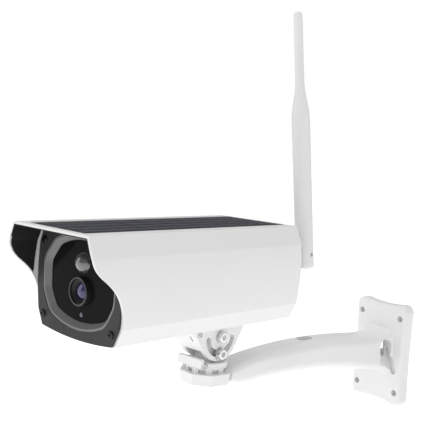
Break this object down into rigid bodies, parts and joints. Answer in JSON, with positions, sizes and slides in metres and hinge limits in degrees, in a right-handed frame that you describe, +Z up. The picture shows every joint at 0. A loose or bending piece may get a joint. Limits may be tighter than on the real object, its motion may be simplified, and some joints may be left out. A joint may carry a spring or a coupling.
{
  "type": "solar security camera",
  "caption": "Outdoor camera in a boxy visored housing with a solar panel on top and a folding antenna, on a pan and tilt joint at the end of a cast wall arm.",
  "frame": {"origin": "centre of the wall plate's back face, at the middle of its four bolt holes", "axes": "+Y into the wall, -Y along the arm towards the camera, +Z up, +X to the right of someone facing the wall"},
  "size_m": [0.1207, 0.357, 0.3277],
  "materials": {
    "white_paint": "satin white powder coat on die-cast aluminium",
    "white_housing": "satin white coat on extruded aluminium",
    "white_plastic": "fine satin moulded plastic",
    "black_plastic": "black moulded plastic",
    "dark_bezel": "dark grey moulded plastic",
    "grey_frame": "mid grey moulded plastic",
    "black_window": "polished dark acrylic",
    "gloss_black": "gloss black",
    "smoked_dome": "dark glossy Fresnel polythene",
    "lens_glass": "coated optical glass",
    "sensor_glass": "sensor cover glass",
    "clear_epoxy": "clear epoxy",
    "green_board": "solder-masked circuit board",
    "battery_wrap": "steel can in a shrink sleeve",
    "panel_backing": "black laminate",
    "solar_silicon": "dark blue silicon under laminate",
    "solar_laminate": "clear laminate",
    "steel": "zinc plated",
    "bright_steel": "bright plated",
    "dark_steel": "black oxide",
    "brass": "gold plated",
    "grey_rubber": "moulded rubber",
    "black_rubber": "moulded rubber"
  },
  "bodies": {
    "wall_bracket": {"arm_bracket": "white_paint", "arm_cap": "grey_rubber", "pan_ring": "white_paint"},
    "pan_head": {"pan_head": "white_paint", "pan_nut": "steel", "pan_washer": "steel", "pan_lock_screw": "steel", "pivot_bolt": "bright_steel", "lock_bolt": "bright_steel", "bolt_washers": "steel", "bolt_nuts": "steel"},
    "antenna_swivel": {"antenna_swivel": "white_plastic", "antenna_pin": "steel"},
    "antenna_whip": {"antenna_whip": "white_plastic"},
    "power_button": {"power_button": "black_rubber"},
    "camera_head": {"saddle": "white_paint", "mount_rail": "white_paint", "saddle_set_screw": "steel", "saddle_screws": "steel", "rail_screws": "steel", "housing_shell": "white_housing", "rear_cover": "white_plastic", "rear_screws": "steel", "rear_gasket": "black_rubber", "front_gasket": "black_rubber", "port_plug": "grey_rubber", "visor_liner": "black_plastic", "front_bezel": "dark_bezel", "window_frame": "grey_frame", "bezel_screws": "dark_steel", "window_plate": "black_window", "pir_lens": "smoked_dome", "lens_ring": "gloss_black", "lens_barrel": "black_plastic", "lens_glass": "lens_glass", "lens_holder": "black_plastic", "image_sensor": "sensor_glass", "sensor_board": "green_board", "main_board": "green_board", "pir_sensor": "steel", "light_sensor": "sensor_glass", "infrared_leds": "clear_epoxy", "battery_tray": "black_plastic", "battery_cells": "battery_wrap", "wifi_module": "steel", "speaker": "black_plastic", "solar_backing": "panel_backing", "solar_cells": "solar_silicon", "solar_cover": "solar_laminate", "antenna_jack": "brass", "jack_nut": "brass"}
  },
  "joints": [
    {"name": "pan", "type": "hinge", "parent": "wall_bracket", "child": "pan_head", "pos_m": [0, -0.204, 0.0066], "axis": [0, 0, 1], "range_deg": [-99, 81]},
    {"name": "tilt", "type": "hinge", "parent": "pan_head", "child": "camera_head", "pos_m": [-0.00008, -0.20351, 0.0338], "axis": [0.9877, 0.1564, 0], "range_deg": [-10, 30]},
    {"name": "antenna_turn", "type": "hinge", "parent": "camera_head", "child": "antenna_swivel", "pos_m": [0.02206, -0.13166, 0.0945], "axis": [-0.1564, 0.9877, 0], "range_deg": [-82.8, 97.2]},
    {"name": "antenna_fold", "type": "hinge", "parent": "antenna_swivel", "child": "antenna_whip", "pos_m": [0.02206, -0.13166, 0.0945], "axis": [-0.9799, -0.1552, -0.1253], "range_deg": [0, 90]},
    {"name": "power_button_press", "type": "slide", "parent": "camera_head", "child": "power_button", "axis": [0.1564, -0.9877, 0], "range_m": [0, 0.0012], "stiffness_N_per_m": 500, "springref_m": -0.002}
  ]
}
